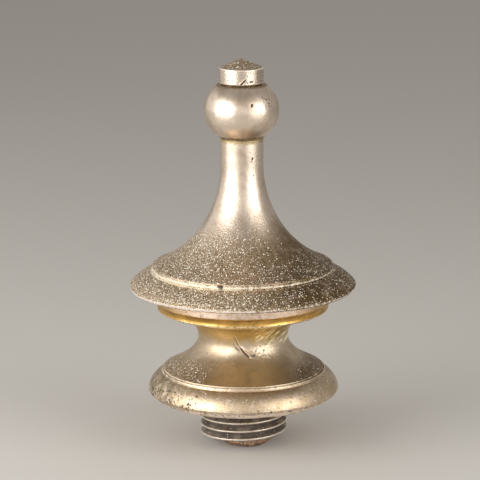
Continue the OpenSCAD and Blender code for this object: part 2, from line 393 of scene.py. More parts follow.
def make_solder():
    low, high, r = measures("solder_ring")
    points = [(NECK_BORE, low), (NECK_R, low - 0.05), (NECK_R + 0.12, low + 0.25)]
    points += [(r - 0.05, high), (NECK_BORE, high)]
    ring = turned(points, 360, cut=0.1, fine=0.1, is_fine=lambda r, z: r > NECK_BORE + 0.5)
    outer = ring.r > NECK_R - 0.2
    lumps = 0.09 * noise(ring.points(), 0.9, 40) + 0.05 * noise(ring.points(), 0.35, 41)
    ring.push(np.where(outer, lumps, 0))
    return ring.mesh("solder_fillet")


FLARE_FULLNESS = 1.5
NECK_STRAIGHT = 6.7
LEDGE_T = 1.2


def flare(inset, count=60):
    """Points down the spire's flare, a quarter of an ellipse cut short, moved inwards by inset."""
    width = FLARE_FULLNESS * (LEDGE_R - EDGE - NECK_R)
    end = math.acos(1 - 1 / FLARE_FULLNESS)
    drop = (SPIRE_TOP - LEDGE_Z - NECK_STRAIGHT - LEDGE_T - EDGE) / math.sin(end)
    result = []
    for t in np.linspace(0, end, count):
        normal = np.array([drop * math.cos(t), width * math.sin(t)])
        place = np.array([NECK_R + width * (1 - math.cos(t)), SPIRE_TOP - NECK_STRAIGHT - drop * math.sin(t)])
        result.append(tuple(place - inset * normal / np.hypot(*normal)))
    return result


def make_spire():
    inner = [p for p in flare(WALL, 16) if p[0] < FOOT_BORE - 0.2]
    outer = flare(0)
    ledge_top = LEDGE_Z + LEDGE_T
    points = [(NECK_BORE, SPIRE_TOP), (NECK_R, SPIRE_TOP), *outer, (LEDGE_R, ledge_top), (LEDGE_R, LEDGE_Z)]
    points += [(FOOT_BORE, LEDGE_Z), (FOOT_BORE, inner[-1][1]), *inner[::-1]]
    middle = flare(WALL / 2, 60)

    def outside(r, z):
        line_r = np.interp(-z, [-p[1] for p in middle], [p[0] for p in middle])
        return r > line_r and not (z < LEDGE_Z + 0.05 and r < LEDGE_R - 0.6)

    shell = turned(points, 720, cut=0.16, fine=0.24, coarse=1.6, is_fine=outside)
    wear(shell, 50, 0.05, 0.004, 1.3)
    grit = np.clip((48 - shell.z) / 8, 0, 1) * (shell.nr + shell.nz > 0.2)
    shell.push(grit * 0.012 * noise(shell.points(), 0.45, 52))
    low_rows = outer[30:58]
    high_rows = [(NECK_R, z) for z in np.arange(SPIRE_TOP - 6, SPIRE_TOP - 0.5, 0.5)] + outer[2:26]
    shell.strew(53, 260, (0, 360), low_rows, (0.22, 0.42), (0.02, 0.075), soil=0.35)
    shell.strew(54, 44, (0, 360), high_rows, (0.16, 0.30), (0.02, 0.06), soil=0.45)
    shell.strew(55, 26, (0, 360), [(LEDGE_R, ledge_top - 0.5)], (0.3, 0.6), (0.05, 0.14), soil=0.4)
    nick = [(-13.5, LEDGE_R, ledge_top - 0.6), (-15.0, LEDGE_R, ledge_top - 0.5)]
    shell.pit(nick, [0.85, 0.6], [0.42, 0.25], soil=0.9)
    neck_marks = [(angle, NECK_R, SPIRE_TOP - down) for angle, down in ((29, 4.6), (27, 5.3), (31, 8.8), (21, 11.4))]
    shell.pit(neck_marks, [0.42, 0.3, 0.28, 0.3], [0.12, 0.08, 0.07, 0.08])
    shell.pit([(31, LEDGE_R, ledge_top - 0.3), (-38, LEDGE_R, ledge_top - 0.2)], [0.7, 0.6], [0.2, 0.15], soil=0.5)
    return shell.mesh("spire_shell")


RIM_Z = 0.9
CANOPY_BULGE = 0.5


def make_canopy():
    slope = bulge((LEDGE_R, LEDGE_Z), (CANOPY_R, CANOPY_Z + RIM_Z), CANOPY_BULGE, 24)
    points = [(FOOT_BORE, LEDGE_Z), *slope, (CANOPY_R - 0.12, CANOPY_Z + 0.35), (CANOPY_R - 0.5, CANOPY_Z)]
    points += [(PAN_INNER, CANOPY_Z), (PAN_INNER, LEDGE_Z - WALL), (FOOT_BORE, LEDGE_Z - WALL)]
    disc = turned(points, 900, cut=0.14, fine=0.2, is_fine=lambda r, z: r > PAN_R - 1)
    wear(disc, 60, 0.05, 0.004, 1.4)
    upper = np.clip((disc.z - CANOPY_Z - RIM_Z) / 0.5, 0, 1) * (disc.r > LEDGE_R)
    disc.push(upper * 0.016 * noise(disc.points(), 0.42, 62))
    disc.strew(63, 300, (0, 360), slope[2:-1], (0.2, 0.42), (0.03, 0.09), soil=0.4)
    disc.strew(64, 60, (0, 360), [slope[-1]], (0.25, 0.55), (0.03, 0.1), soil=0.3)
    return disc.mesh("canopy_disc")


FASCIA_H = 3.1
ARRIS_R = 21.7
COVE_DEPTH = 0.5
SPOOL_TOP_R = 15.5


def make_pan():
    cove = bulge((ARRIS_R, PAN_Z + WALL + EDGE), (PAN_R, CANOPY_Z - FASCIA_H), COVE_DEPTH, 12)
    points = [(ROD_HOLE, PAN_Z), (SPOOL_TOP_R, PAN_Z), (ARRIS_R - EDGE, PAN_Z + WALL - EDGE / 2)]
    points += [(ARRIS_R, PAN_Z + WALL + EDGE / 2), *cove, (PAN_R, CANOPY_Z), (PAN_INNER, CANOPY_Z)]
    points += [(PAN_INNER, CANOPY_Z - FASCIA_H), (ARRIS_R - 2 * WALL, PAN_Z + WALL), (ROD_HOLE, PAN_Z + WALL)]
    pan = turned(points, 720, cut=0.1, fine=0.2, is_fine=lambda r, z: r > PAN_INNER + 0.2 or z < PAN_Z + 1)
    wear(pan, 70, 0.04, 0.006, 1.0)
    pan.strew(71, 60, (0, 360), [(ARRIS_R, PAN_Z + WALL)], (0.25, 0.5), (0.03, 0.1), soil=0.3)
    return pan.mesh("canopy_underpan")


WAIST_R = 11.4
WAIST_RISE = 8.2
SCOTIA_R = 5.4
FOOT_T = 1.0
SPIGOT_R = 17.95
WAIST_Z = SPOOL_Z + FOOT_T + WAIST_RISE


def lower_flare(inset, count=44):
    """Points down the spool's lower flare, a parabola, moved inwards by inset."""
    width = FOOT_R - WAIST_R
    result = []
    for u in np.linspace(0, 1, count):
        normal = np.array([WAIST_RISE, 2 * width * u])
        place = np.array([WAIST_R + width * u * u, WAIST_Z - WAIST_RISE * u])
        result.append(tuple(place - inset * normal / np.hypot(*normal)))
    return result


def scotia(inset, r_end, count=22):
    """Points down the hollow above the narrowest ring."""
    r = SCOTIA_R + inset
    end = math.acos((WAIST_R + SCOTIA_R - r_end) / r)
    return [
        (WAIST_R + SCOTIA_R - r * math.cos(a), WAIST_Z + r * math.sin(a)) for a in np.linspace(end, 0, count)
    ]


# Start and end as (angle in degrees, height), then width, depth, lip height and dirt.
SCARS = [
    ((-11.5, 18.4), (-4.5, 14.9), 0.17, 0.14, 0.20, 0.6),
    ((-5.5, 15.7), (8.5, 12.6), 0.22, 0.32, 0.32, 1.0),
    ((-13.5, 16.4), (-8.0, 14.9), 0.12, 0.10, 0.05, 0.7),
    ((-10.5, 15.6), (-3.5, 14.5), 0.16, 0.16, 0.08, 0.8),
]


def gouge(shell, where, start, end, width, depth, lip, soil):
    """A ragged groove with a raised lip of bare metal along its left side."""
    side, share = shell.across(start, end)
    side = side + 0.16 * noise(shell.points(), 1.5, 82)
    fade = np.clip(share / 0.2, 0, 1) * np.clip((1 - share) / 0.2, 0, 1) * where
    trough = np.exp(-((side / width) ** 2)) * fade
    ridge = np.exp(-(((side - 1.7 * width) / (0.9 * width)) ** 2)) * fade
    ridge *= 0.8 + 0.3 * noise(shell.points(), 0.7, 83)
    shell.push(lip * ridge - depth * trough)
    shell.mark("bare", ridge * lip / 0.2)
    shell.mark("soil", soil * np.clip(trough * 1.4 - 0.3, 0, 1))


def make_waist():
    foot_z = SPOOL_Z
    inner_r = SPIGOT_R - WALL
    inner = scotia(WALL, SPOOL_TOP_R - WALL, 8) + [p for p in lower_flare(WALL, 12) if p[0] < inner_r]
    inner_top = min(inner[0][1], PAN_Z - 0.05)
    outer_flare = lower_flare(0)
    points = [(inner[0][0], PAN_Z), (SPOOL_TOP_R, PAN_Z), *scotia(0, SPOOL_TOP_R), *outer_flare[1:]]
    points += [(FOOT_R, foot_z), (SPIGOT_R, foot_z), (SPIGOT_R, foot_z - SPIGOT_H), (inner_r, foot_z - SPIGOT_H)]
    points += [(inner_r, inner[-1][1]), *[(r, min(z, inner_top)) for r, z in inner[::-1][:-1]]]
    middle = [*scotia(WALL / 2, SPOOL_TOP_R - WALL / 2, 20), *lower_flare(WALL / 2, 30)]

    def outside(r, z):
        line_r = np.interp(-z, [-p[1] for p in middle], [p[0] for p in middle])
        return r > line_r and z > foot_z + 0.1

    shell = turned(points, 760, cut=0.12, fine=0.14, is_fine=outside)
    wear(shell, 80, 0.06, 0.006, 0.9)
    outer = (shell.nr > 0.05) & (shell.z > foot_z + FOOT_T)
    for scar in SCARS:
        gouge(shell, outer, *scar)
    degrees = np.degrees((shell.angle + math.pi) % (2 * math.pi) - math.pi)
    smudge = np.exp(-(((degrees - 11.5) / 5.0) ** 2) - ((shell.z - 13.5) / 0.5) ** 2) * outer
    shell.mark("soil", smudge * np.clip(0.75 + 0.9 * noise(shell.points(), 0.4, 87), 0, 1))
    scuffed = np.exp(-(((degrees - 22) / 15) ** 2) - ((shell.z - 14.6) / 1.8) ** 2) * outer
    shell.push(scuffed * (0.05 * noise(shell.points(), 0.6, 88) + 0.03 * noise(shell.points(), 0.35, 89)))
    beside = [(WAIST_R + 0.2, z) for z in (13.3, 13.9, 14.4)]
    shell.strew(84, 7, (6, 34), beside, (0.2, 0.4), (0.04, 0.12), soil=0.6)
    shell.strew(85, 60, (0, 360), outer_flare[10:], (0.14, 0.3), (0.02, 0.06), soil=0.4)
    shell.strew(86, 90, (-80, -30), outer_flare[24:], (0.14, 0.3), (0.02, 0.07), soil=0.5)
    return shell.mesh("waist_shell")


FLANGE_WIDE_Z = 2.1
SEAT_R = 21.8
FLANGE_BULGE = 0.7
FLANGE_BORE = 18.0
PLATE_R = 18.65
PLATE_TOP = 2.0
BEAD_W = 0.5
BEAD_H = 0.7


def make_flange():
    shoulder = SPOOL_Z
    bead_r = FOOT_R + BEAD_W
    slope = bulge((bead_r, shoulder), (FLANGE_R, FLANGE_WIDE_Z), FLANGE_BULGE, 26)
    lip = bulge((FLANGE_R, FLANGE_WIDE_Z), (SEAT_R, 0), EDGE, 14)
    bead = [(FOOT_R + 0.1, shoulder + BEAD_H * 0.8), (FOOT_R + 0.25, shoulder + BEAD_H)]
    bead += [(bead_r - 0.1, shoulder + BEAD_H * 0.85), (bead_r, shoulder + BEAD_H * 0.4)]
    points = [(FLANGE_BORE, shoulder), (FOOT_R + 0.05, shoulder), *bead, *slope, *lip[1:]]
    points += [(PLATE_R, 0), (PLATE_R, PLATE_TOP), (FLANGE_BORE, PLATE_TOP)]
    ring = turned(points, 900, cut=0.14, fine=0.18, is_fine=lambda r, z: r > SEAT_R - 0.6 or z > shoulder + 0.2)
    wear(ring, 90, 0.06, 0.007, 1.0)
    outer = ring.r > FOOT_R + 0.3
    dents = np.clip(noise(ring.points(), 2.4, 92) - 0.35, 0, 1)
    low_edge = np.exp(-(((ring.z - 0.9) / 1.0) ** 2)) * outer
    ring.push(-0.22 * low_edge * dents)
    ring.mark("soil", low_edge * np.clip(dents * 4 - 0.5, 0, 1) * 0.8)
    ring.strew(93, 84, (-70, 75), lip[1:10], (0.16, 0.38), (0.05, 0.18))
    ring.strew(94, 70, (-78, -30), slope[10:], (0.16, 0.4), (0.04, 0.16))
    ring.strew(95, 200, (75, 290), [*lip[:11], *slope[14:]], (0.16, 0.4), (0.04, 0.16))
    ring.strew(96, 60, (0, 360), slope, (0.14, 0.3), (0.02, 0.07))
    ring.strew(97, 26, (0, 360), [(bead_r, shoulder + BEAD_H)], (0.25, 0.45), (0.05, 0.12), soil=0.3)
    return ring.mesh("flange_turning")


PITCH = 2.12
RIDGE_H = 1.15
SPIGOT_UP = 5.4
SPIGOT_UP_R = 8.0
THREAD_TOP = 0.4
LAST_CREST = 0.68
RECESS_R = 7.05
RECESS_H = 1.2


def make_plug():
    """The plug with a right-hand thread, whose ridge is a helix that starts and ends smoothly."""
    root = THREAD_R - RIDGE_H
    recess_z = THREAD_END + RECESS_H
    points = [(ROD_HOLE, SPIGOT_UP), (SPIGOT_UP_R, SPIGOT_UP), (SPIGOT_UP_R, THREAD_TOP), (root, THREAD_TOP)]
    points += [(root, THREAD_END), (RECESS_R, THREAD_END), (RECESS_R, recess_z), (ROD_HOLE, recess_z)]
    plug = turned(points, 420, cut=0.1, fine=0.07, is_fine=lambda r, z: r > SPIGOT_UP_R + 0.2)
    wrapped = plug.angle / (2 * math.pi)
    phase = ((plug.z - THREAD_END - LAST_CREST) / PITCH - wrapped + 0.5) % 1
    away = np.abs(phase - 0.5) * 2
    ridge = np.clip((1 - away - 0.10) / 0.78, 0, 1)
    start = np.clip((-0.35 - plug.z) / 0.9, 0, 1)
    finish = np.clip((plug.z - THREAD_END) / 0.12, 0, 1) ** 0.5
    outer = np.abs(plug.r - root) < 0.2
    grow = RIDGE_H * ridge * start * finish
    worn = 0.05 * noise(plug.points(), 1.2, 100) + 0.03 * noise(plug.points(), 0.4, 101)
    plug.r += np.where(outer, np.minimum(grow, RIDGE_H - 0.02) + worn * ridge, 0)
    return plug.mesh("plug_with_helix")


PEEN_R = 6.4
PEEN_SHIFT = 0.6


def make_rod():
    """The tie rod with its hammered end, which is lumpy, lifted on both sides and off centre."""
    peen_top = bottom("burr_washer")
    rod_r = ROD_HOLE - 0.05
    points = [(0, PEEN_Z), (PEEN_R - 0.5, PEEN_Z), (PEEN_R, PEEN_Z + 0.6), (PEEN_R, peen_top)]
    points += [(rod_r, peen_top), (rod_r, top("tie_rod")), (0, top("tie_rod"))]
    rod = turned(points, 300, closed=False, cut=0.3, fine=0.14, coarse=3, is_fine=lambda r, z: z < peen_top + 0.1)
    rod_zone = rod.z > peen_top + 0.05
    lump = np.clip((peen_top + 0.3 - rod.z) / 0.6, 0, 1)
    at = rod.points()
    rough = 0.28 * noise(at, 3.4, 110) + 0.2 * noise(at, 1.5, 111) + 0.12 * noise(at, 0.5, 112)
    rod.push(lump * np.where(rod.nr > 0.4, rough - 0.1, 0))
    x = rod.r * np.sin(rod.angle)
    lift = np.clip((x + 2.4) / 9.0, 0, 1) * 0.12 + np.clip((-2.4 - x) / 4.0, 0, 1) * 0.22
    under = np.clip((peen_top - rod.z) / (peen_top - PEEN_Z), 0, 1) * (~rod_zone)
    rod.z += under * (lift + 0.2 * noise(at, 1.1, 113) + 0.1)
    rod.z = np.where(rod_zone, rod.z, np.maximum(rod.z, PEEN_Z))
    piece = rod.mesh("rod_with_peened_end")
    co = np.zeros(len(piece.data.vertices) * 3, np.float32)
    piece.data.vertices.foreach_get("co", co)
    corners = co.reshape(-1, 3)
    corners[:, 0] += np.where(corners[:, 2] < (peen_top + 0.02) * MM, PEEN_SHIFT * MM, 0)
    piece.data.vertices.foreach_set("co", corners.ravel())
    piece.data.update()
    return piece


# ---------------- materials
# Colours are linear. Bare numbers next to them are shares from 0 to 1, or places and sizes in
# millimetres, like the sizes above.


class Nodes:
    """Builds a material's nodes. Positions are in millimetres, and r is the distance from the axis."""

    def __init__(self, name):
        self.material = bpy.data.materials.new(name)
        self.material.use_nodes = True
        self.tree = self.material.node_tree
        self.tree.nodes.clear()
        self.shader = self.add("ShaderNodeBsdfPrincipled")
        output = self.add("ShaderNodeOutputMaterial")
        self.feed(output.inputs["Surface"], self.shader.outputs[0])
        coords = self.add("ShaderNodeTexCoord").outputs["Object"]
        self.place = self.add("ShaderNodeVectorMath", operation="SCALE", Vector=coords, Scale=1 / MM).outputs[0]
        split = self.add("ShaderNodeSeparateXYZ", Vector=self.place).outputs
        self.x, self.y, self.z = split
        self.r = self.hypotenuse(self.x, self.y)

    def feed(self, socket, value):
        """Links a socket to a node's output, or sets it to a constant."""
        if isinstance(value, bpy.types.NodeSocket):
            self.tree.links.new(value, socket)
        elif socket.type == "RGBA":
            socket.default_value = (*value, 1.0)
        else:
            socket.default_value = value

    def add(self, kind, **settings):
        """A node. Settings in lower case are the node's own, and the rest are its inputs."""
        node = self.tree.nodes.new(kind)
        for key, value in settings.items():
            if hasattr(node, key) and key.islower():
                setattr(node, key, value)
                continue
            self.feed(node.inputs[key], value)
        return node

    def math(self, operation, *values, clamp=False):
        node = self.tree.nodes.new("ShaderNodeMath")
        node.operation = operation
        node.use_clamp = clamp
        for socket, value in zip(node.inputs, values):
            self.feed(socket, value)
        return node.outputs[0]

    def hypotenuse(self, a, b):
        return self.math("SQRT", self.plus(self.times(a, a), self.times(b, b)))

    def times(self, a, b, clamp=False):
        return self.math("MULTIPLY", a, b, clamp=clamp)

    def plus(self, a, b):
        return self.math("ADD", a, b)

    def minus(self, a, b):
        return self.math("SUBTRACT", a, b)

    def wobble(self, reach, noise):
        """A noise that is made to swing round 0, by half of reach each way."""
        return self.times(self.minus(noise, 0.5), reach)

    def picked(self, tone, channel):
        """A random number from 0 to 1 for each spot, from the spot's colour."""
        return self.add("ShaderNodeSeparateColor", Color=tone).outputs[channel]

    def rise(self, value, low, high):
        """0 below low, 1 above high, smooth between. low may be the larger, for a fall."""
        node = self.add("ShaderNodeMapRange", interpolation_type="SMOOTHSTEP", Value=value)
        flip = low > high
        node.inputs["From Min"].default_value = min(low, high)
        node.inputs["From Max"].default_value = max(low, high)
        node.inputs["To Min"].default_value = 1.0 if flip else 0.0
        node.inputs["To Max"].default_value = 0.0 if flip else 1.0
        return node.outputs["Result"]

    def noise(self, cell, detail=4.0, roughness=0.65, distortion=0.0, stretch=None, place=None):
        """Noise near 0.5 with features about cell millimetres wide."""
        vector = place or self.place
        if stretch:
            vector = self.add("ShaderNodeMapping", Vector=vector, Scale=stretch).outputs[0]
        node = self.add("ShaderNodeTexNoise", Vector=vector, Scale=1 / cell, Detail=detail)
        node.inputs["Roughness"].default_value = roughness
        node.inputs["Distortion"].default_value = distortion
        return node.outputs["Fac"]

    def spots(self, cell, low, high, randomness=1.0):
        """1 at the middle of scattered spots about cell apart, 0 beyond high of their spacing."""
        node = self.add("ShaderNodeTexVoronoi", Vector=self.place, Scale=1 / cell, Randomness=randomness)
        return self.rise(node.outputs["Distance"], high, low), node.outputs["Color"]

    def ring(self, r, z, width, ragged=0.0, cell=1.0, lean=0.0):
        """1 on the ring at radius r and height z, falling to 0 at width away. On +X it is narrower by lean."""
        dr = self.minus(self.r, r)
        dz = self.minus(self.z, z)
        away = self.hypotenuse(dr, dz)
        if ragged:
            away = self.plus(away, self.wobble(ragged, self.noise(cell, 3.0, 0.55)))
        if lean:
            away = self.plus(away, self.times(self.rise(self.x, -14.0, 12.0), lean))
        return self.rise(away, width, width * 0.25)

    def mix(self, factor, under, over):
        """Mixes two colours or two numbers."""
        colours = isinstance(over, tuple) or (isinstance(over, bpy.types.NodeSocket) and over.type == "RGBA")
        node = self.tree.nodes.new("ShaderNodeMix")
        node.data_type = "RGBA" if colours else "FLOAT"
        sockets = [s for s in node.inputs if s.enabled]
        for socket, value in zip(sockets, (factor, under, over)):
            self.feed(socket, value)
        return next(s for s in node.outputs if s.enabled)

    def tinge(self, under, over, share, value, low, high):
        """Mixes in a share of over where value rises from low to high."""
        return self.mix(self.times(self.rise(value, low, high), share), under, over)

    def mark(self, name):
        """The share of soil or bare metal that the mesh carries."""
        return self.add("ShaderNodeAttribute", attribute_name=name).outputs["Fac"]

    def finish(self, colour, roughness, heights, metal=1.0):
        """Connects the colour, the roughness, and bumps given as (height, strength, distance)."""
        inputs = self.shader.inputs
        self.feed(inputs["Base Color"], colour)
        self.feed(inputs["Roughness"], roughness)
        self.feed(inputs["Metallic"], metal)
        normal = None
        for height, strength, distance in heights:
            bump = self.add("ShaderNodeBump", Height=height, Strength=strength, Distance=distance * MM)
            if normal:
                self.feed(bump.inputs["Normal"], normal)
            normal = bump.outputs[0]
        self.feed(inputs["Normal"], normal)
        return self.material


NICKEL = (0.80, 0.68, 0.565)
NICKEL_SHADE = (0.60, 0.485, 0.38)
NICKEL_WARM = (0.62, 0.47, 0.31)
GILT = (0.60, 0.405, 0.11)
# Painted highlight colour for the ledge.
PALE_GOLD_HIGHLIGHT = (1.0, 0.93, 0.76)
# Dull plate: lit copies for -X and painted-shade copies for +X.
DULL_LIT = (0.80, 0.62, 0.43)
DULL_SHADED = (0.20, 0.122, 0.046)
GRAIN_LIT = (0.16, 0.105, 0.052)
GRAIN_SHADED = (0.075, 0.048, 0.020)
SPECK_GLINT = (1.0, 0.95, 0.82)
OLIVE = (0.40, 0.32, 0.12)
ROSY = (0.66, 0.47, 0.37)
DIRT = (0.028, 0.018, 0.011)
BARE_METAL = (1.0, 0.80, 0.66)
PIT_BLACK = (0.04, 0.028, 0.015)
CAP_EDGE_HIGHLIGHT = (0.92, 0.80, 0.68)
CAP_LOW_EDGE_HIGHLIGHT = (0.9, 0.72, 0.5)
BALL_LOW_STAIN = (0.26, 0.19, 0.10)
BALL_TOP_STAIN = (0.36, 0.27, 0.18)
NECK_STAIN = (0.44, 0.34, 0.20)
RIM_HIGHLIGHT = (0.92, 0.82, 0.73)
PAN_GOLD = (0.69, 0.415, 0.12)
PAN_SHADE = (0.44, 0.262, 0.07)
PAN_TAN = (0.66, 0.49, 0.29)
LILAC_SHADE = (0.74, 0.56, 0.43)
LILAC = (0.90, 0.72, 0.60)
ARRIS_HIGHLIGHT = (1.0, 0.85, 0.58)
# Painted shade for the pan's underside.
UNDERSIDE_SHADE = (0.20, 0.14, 0.07)
PAN_TARNISH = (0.16, 0.10, 0.03)
STREAK_GLINT = (1.0, 0.88, 0.52)
WAIST_EDGE_HIGHLIGHT = (0.86, 0.72, 0.52)
WAIST_NICKEL = (0.70, 0.575, 0.43)
WAIST_SHADE = (0.54, 0.43, 0.30)
# Painted highlight colour for the flange's lower band.
LOW_BAND_HIGHLIGHT = (0.95, 0.80, 0.68)
COPPERY = (0.56, 0.42, 0.27)
DRIP_TAN = (0.66, 0.49, 0.30)
DRIP_PINK = (0.84, 0.66, 0.56)
LEFT_STAIN = (0.22, 0.17, 0.09)
BEAD_HIGHLIGHT = (0.96, 0.84, 0.68)
BASE_NICKEL = (0.74, 0.60, 0.43)
BASE_SHADE = (0.58, 0.45, 0.30)
STEEL_DARK = (0.12, 0.098, 0.082)
STEEL_GREY = (0.30, 0.26, 0.22)
STEEL_CREST_HIGHLIGHT = (0.84, 0.76, 0.66)
STEEL_ROOT_SHADE = (0.07, 0.055, 0.045)
RUST = (0.26, 0.17, 0.10)
STEEL_FLECK = (0.80, 0.70, 0.58)
COPPER = (0.56, 0.35, 0.225)
COPPER_SHADE = (0.31, 0.19, 0.115)
# Painted highlight for the peaks, and a darker tone for the hollows.
COPPER_PEAK_HIGHLIGHT = (1.0, 0.80, 0.62)
COPPER_HOLLOW_DARK = (0.09, 0.055, 0.035)
BRASS = (0.70, 0.46, 0.16)
BRASS_SHADE = (0.46, 0.29, 0.10)
BRASS_DARK = (0.20, 0.12, 0.05)
SOLDER_BROWN = (0.42, 0.34, 0.20)
# Seal colour, darkened also as painted shadow in the seam.
SEAL_BROWN_AND_SHADOW = (0.13, 0.095, 0.055)

PIT_SHARE = 0.06

# Bright specks painted as glints: spacing, full and faded size as shares of it, colour channel that picks, and share
# shown.
SPECKS = [(1.05, 0.15, 0.25, 0, 0.6), (0.62, 0.20, 0.33, 1, 0.9), (0.42, 0.20, 0.38, 2, 0.9)]


def plated(
    name, base, shade, rough, dull=None, edge_highlights=(), stains=(), extra=None, scratches=(0.5, 0.5, 9.0), brush=0.1
):
    """Worn nickel plate with turning lines, dents and dirt.

    dull is a function of the nodes that gives where the plate is dull and full of bright specks,
    and how dense the specks are. The dull body is painted lit towards -X and shaded towards +X, and
    the specks are painted bright as glints. edges are rings (r, z, width, lean, colour) of painted
    highlight along an edge, where lean makes them fade towards +X. stains are rings (r, z, width,
    colour). extra is a function that changes the colour, the roughness and the metal share.
    scratches stretches the turning lines along each axis, and brush is how deep they are."""
    n = Nodes(name)
    cloud = n.noise(6.0, 4.0, 0.6, 0.5)
    fine = n.noise(1.1)
    colour = n.mix(n.rise(cloud, 0.42, 0.66), base, shade)
    colour = n.tinge(colour, shade, 0.5, fine, 0.52, 0.74)
    roughness = n.mix(n.rise(cloud, 0.35, 0.7), rough, rough + 0.08)
    lines = n.noise(0.9, stretch=scratches)
    roughness = n.plus(roughness, n.wobble(0.16, lines))
    colour = n.tinge(colour, shade, 0.35, lines, 0.62, 0.80)
    metal = 1.0
    heights = [(fine, 0.12, 0.12), (lines, brush, 0.05)]
    if dull:
        zone, density = dull(n)
        patchy = n.noise(2.4)
        grit = n.noise(0.34, 3.0, 0.7)
        # Painted light and shade: the dull body is lit towards -X and shaded towards +X.
        side = n.rise(n.plus(n.x, n.times(patchy, 8.0)), 19.0, 0.0)
        body = n.mix(n.rise(grit, 0.38, 0.56), n.mix(side, GRAIN_SHADED, GRAIN_LIT), n.mix(side, DULL_SHADED, DULL_LIT))
        body = n.tinge(body, NICKEL_WARM, 0.4, patchy, 0.50, 0.66)
        tint = n.noise(3.4, 3.0, 0.6, 0.4)
        body = n.tinge(body, OLIVE, 0.35, tint, 0.56, 0.68)
        body = n.tinge(body, ROSY, 0.35, tint, 0.44, 0.32)
        colour = n.mix(n.times(zone, 0.94), colour, body)
        roughness = n.mix(zone, roughness, 0.46)
        speck_glints = 0.0
        # Specks of the pitted plate, painted bright as glints: pale, glossy and hardly metallic.
        for cell, low, high, channel, share in SPECKS:
            spot, tone = n.spots(cell, low, high)
            pick = n.picked(tone, channel)
            limit = n.times(n.times(density, share), n.rise(patchy, 0.20, 0.52))
            shown = n.times(spot, n.math("LESS_THAN", pick, limit))
            speck_glints = n.math("MAXIMUM", speck_glints, shown)
        speck_glints = n.times(speck_glints, n.rise(zone, 0.05, 0.4), clamp=True)
        colour = n.mix(speck_glints, colour, SPECK_GLINT)
        roughness = n.mix(speck_glints, roughness, 0.34)
        metal = n.mix(speck_glints, 1.0, 0.1)
        heights += [(grit, 0.5, 0.12), (speck_glints, 0.8, 0.12)]
    # Painted highlight along an edge: bright rings, made less metallic on dull plate so they pick up light, and
    # fading towards +X by lean.
    for r, z, width, lean, highlight_colour in edge_highlights:
        edge_highlight = n.ring(r, z, width, width * 1.7, 0.9, lean)
        colour = n.mix(edge_highlight, colour, highlight_colour)
        roughness = n.mix(edge_highlight, roughness, 0.27)
        metal = n.mix(edge_highlight, metal, 0.45) if dull else metal
    for r, z, width, stain_colour in stains:
        stain = n.ring(r, z, width, width * 1.3, 0.8)
        colour = n.mix(stain, colour, stain_colour)
        roughness = n.mix(stain, roughness, 0.55)
    if extra:
        colour, roughness, metal = extra(n, colour, roughness, metal)
    specks, tone = n.spots(1.3, 0.06, 0.15)
    pick = n.picked(tone, 2)
    black = n.times(specks, n.math("LESS_THAN", pick, PIT_SHARE))
    black = n.math("MAXIMUM", black, n.mark("soil"))
    bare = n.mark("bare")
    colour = n.mix(bare, colour, BARE_METAL)
    roughness = n.mix(bare, roughness, 0.25)
    colour = n.mix(black, colour, DIRT)
    roughness = n.mix(black, roughness, 0.8)
    metal = n.mix(black, metal, 0.0)
    heights.append((black, -0.5, 0.10))
    return n.finish(colour, roughness, heights, metal)


def cap_material():
    cone_z = top("tip_cap") - CAP_CONE_H
    low = bottom("tip_cap")

    def cone_grit(n):
        return n.times(n.rise(n.z, cone_z, cone_z + 0.3), 0.95), 0.36

    r = radius("tip_cap")
    # Painted highlights along the cone's foot and along the bottom edge.
    edge_highlights = [(r, cone_z, 0.26, 0.0, CAP_EDGE_HIGHLIGHT), (r, low, 0.25, 0.0, CAP_LOW_EDGE_HIGHLIGHT)]
    return plated("cap_nickel", NICKEL, NICKEL_SHADE, 0.20, cone_grit, edge_highlights)


def ball_material():
    low, high = bottom("ball"), top("ball")
    stains = [(5.9, low, 1.0, BALL_LOW_STAIN), (6.0, high, 0.9, BALL_TOP_STAIN)]
    upright = (3.0, 3.0, 0.8)
    return plated("ball_nickel", NICKEL, NICKEL_SHADE, 0.31, stains=stains, scratches=upright, brush=0.4)


def spire_material():
    def flare_grit(n):
        wobble = n.wobble(10.0, n.noise(5.0, 4.0, 0.6))
        # The dull zone reaches higher towards +X, where its body is painted shaded.
        right = n.times(n.math("MAXIMUM", n.x, 0.0), -0.3)
        height = n.plus(n.plus(n.z, wobble), right)
        # More specks towards -X, where the light falls: painted glints.
        left = n.times(n.rise(n.x, 12.0, -14.0), 0.78)
        low = n.times(n.rise(n.z, 40.5, 34.5), 0.45)
        return n.rise(height, 47.0, 38.0), n.math("MAXIMUM", left, low)

    # Painted highlight along the ledge, fading towards +X.
    edge_highlights = [(LEDGE_R, LEDGE_Z + LEDGE_T * 0.4, 0.55, 0.22, PALE_GOLD_HIGHLIGHT)]
    stains = [(NECK_R, SPIRE_TOP, 1.3, NECK_STAIN)]
    return plated("spire_nickel", NICKEL, NICKEL_SHADE, 0.28, flare_grit, edge_highlights, stains)


def canopy_material():
    def all_over(n):
        # More specks towards -X, where the light falls: painted glints.
        left = n.rise(n.x, 20.0, -22.0)
        return n.rise(n.r, LEDGE_R - 1.0, LEDGE_R + 0.2), n.plus(n.times(left, 0.62), 0.36)

    # Painted highlights along the ledge and along the rim, fading towards +X.
    edge_highlights = [
        (LEDGE_R + 0.1, LEDGE_Z, 0.6, 0.40, PALE_GOLD_HIGHLIGHT),
        (CANOPY_R, CANOPY_Z + 0.5, 0.52, 0.16, RIM_HIGHLIGHT),
    ]
    return plated("canopy_nickel", NICKEL_WARM, NICKEL_SHADE, 0.36, all_over, edge_highlights)


